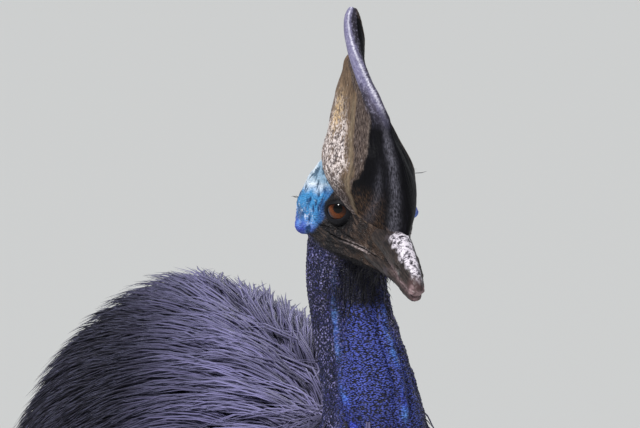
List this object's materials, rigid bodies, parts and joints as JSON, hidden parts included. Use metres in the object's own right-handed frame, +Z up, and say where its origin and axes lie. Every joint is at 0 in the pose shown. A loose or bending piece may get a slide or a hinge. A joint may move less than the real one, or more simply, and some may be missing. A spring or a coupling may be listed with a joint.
{
  "type": "southern cassowary, standing",
  "caption": "Life-size still cassowary with a tall horn casque, bare blue neck, two wattles, hair-like plumage and clawed feet, for display.",
  "frame": {"origin": "on the floor, under the middle of the whole bird", "axes": "+Z up, -Y the way the bird faces, +X the bird's left side"},
  "size_m": [0.355, 0.913, 1.2849],
  "materials": {
    "plumage": "black hair-like plumage with a grey-blue sheen",
    "neck_skin": "pebbly deep blue skin with brighter folds",
    "head_skin": "wrinkled pale blue skin, dark round the bill",
    "casque_horn": "worn brown and dark grey horn",
    "bill_horn": "dark horn, flaky and pale on its ridge",
    "eye": "wet, orange-brown iris",
    "wattle": "soft folded red skin",
    "leg_scales": "dull grey-green scutes",
    "claw": "smooth dark horn",
    "quill": "smooth black quill"
  },
  "bodies": {
    "root": {"head": "head_skin", "casque": "casque_horn", "bill_upper": "bill_horn", "bill_lower": "bill_horn", "eye_right": "eye", "eye_left": "eye", "neck_upper": "neck_skin", "neck_middle": "neck_skin", "neck_lower": "plumage", "wattle_right": "wattle", "wattle_left": "wattle", "torso": "plumage", "wing_right": "quill", "wing_left": "quill", "thigh_right": "plumage", "thigh_left": "plumage", "shank_right": "leg_scales", "shank_left": "leg_scales", "toe_middle_right": "leg_scales", "toe_inner_right": "leg_scales", "toe_outer_right": "leg_scales", "toe_middle_left": "leg_scales", "toe_inner_left": "leg_scales", "toe_outer_left": "leg_scales", "claw_middle_right": "claw", "claw_inner_right": "claw", "claw_outer_right": "claw", "claw_middle_left": "claw", "claw_inner_left": "claw", "claw_outer_left": "claw"}
  },
  "joints": []
}
